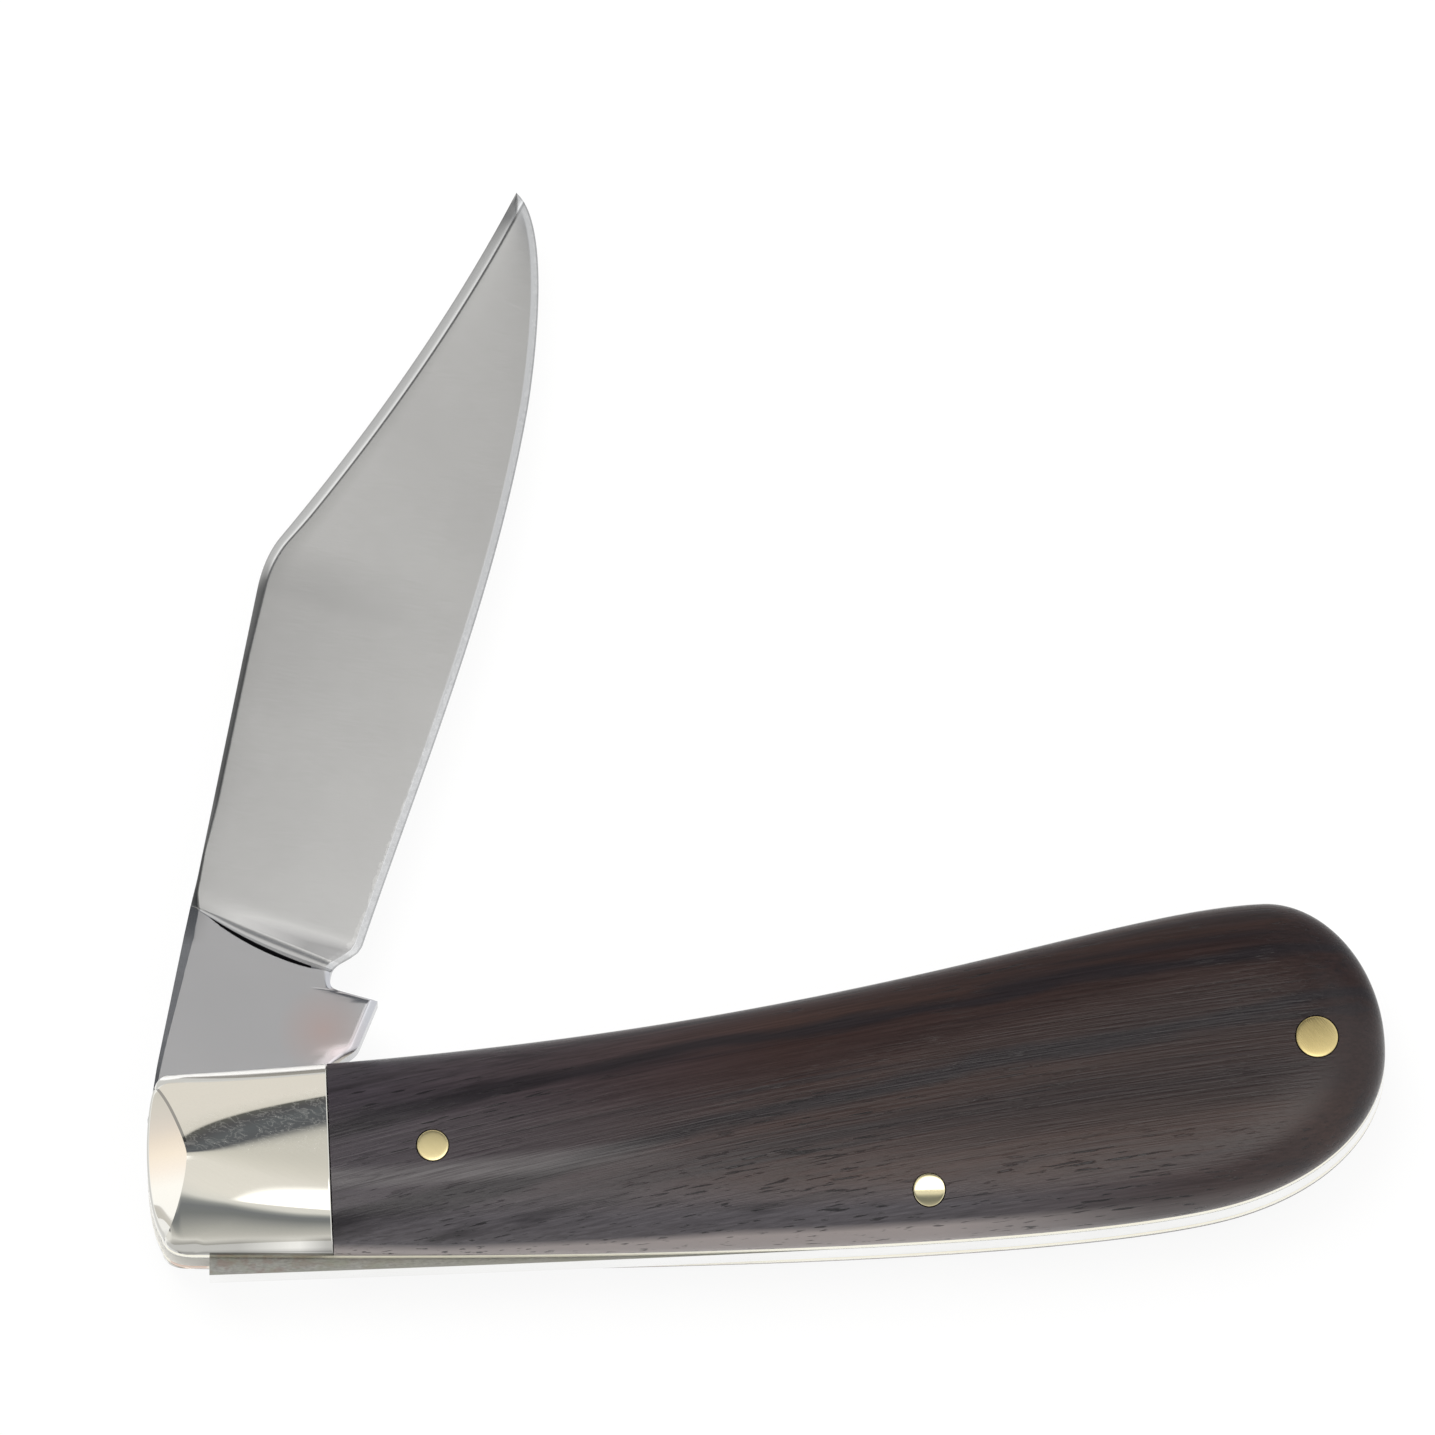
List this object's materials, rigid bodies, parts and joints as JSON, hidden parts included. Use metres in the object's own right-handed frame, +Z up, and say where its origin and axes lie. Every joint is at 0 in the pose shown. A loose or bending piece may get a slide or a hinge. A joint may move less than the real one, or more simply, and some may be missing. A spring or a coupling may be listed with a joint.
{
  "type": "folding pocket knife",
  "caption": "Slip-joint folding pocket knife, half open: clip-point blade, steel backspring, brass liners and pins, dark wooden scales and a polished front bolster.",
  "frame": {"origin": "the blade's pivot axis, on the plane that the knife lies on: the outer end of the pivot pin, flush with the back bolster's crown", "axes": "+X along the handle from the pivot to the butt, +Y to the side where the blade folds in, +Z up through the knife's thickness, along the pivot"},
  "size_m": [0.0948, 0.0859, 0.012],
  "materials": {
    "blade_steel": "satin, fine polish lines along the grind",
    "spring_steel": "polished back, darker stained sides",
    "nickel_silver": "mirror polish, slightly warm",
    "brass": "polished, ground flush",
    "dark_wood": "oiled dark rosewood with fine lengthwise grain"
  },
  "bodies": {
    "handle": {"front_liner": "brass", "back_liner": "brass", "front_bolster": "nickel_silver", "back_bolster": "nickel_silver", "front_scale": "dark_wood", "back_scale": "dark_wood", "front_scale_pin": "brass", "back_scale_pin": "brass", "front_bolster_rivet_1": "nickel_silver", "front_bolster_rivet_2": "nickel_silver", "back_bolster_rivet_1": "nickel_silver", "back_bolster_rivet_2": "nickel_silver", "pivot_pin": "nickel_silver", "center_spring_pin": "brass", "end_spring_pin": "brass"},
    "blade": {"blade": "blade_steel"},
    "backspring": {"backspring": "spring_steel"}
  },
  "joints": [
    {"name": "blade_pivot", "type": "hinge", "parent": "handle", "child": "blade", "pos_m": [0, 0, 0.006], "axis": [0, 0, 1], "range_deg": [-64, 101.2]},
    {"name": "backspring_flex", "type": "hinge", "parent": "handle", "child": "backspring", "pos_m": [0.053, -0.00296, 0.006], "axis": [0, 0, 1], "range_deg": [-1.4, 0], "stiffness_Nm_per_rad": 0.5, "deforming": ["backspring"]}
  ]
}
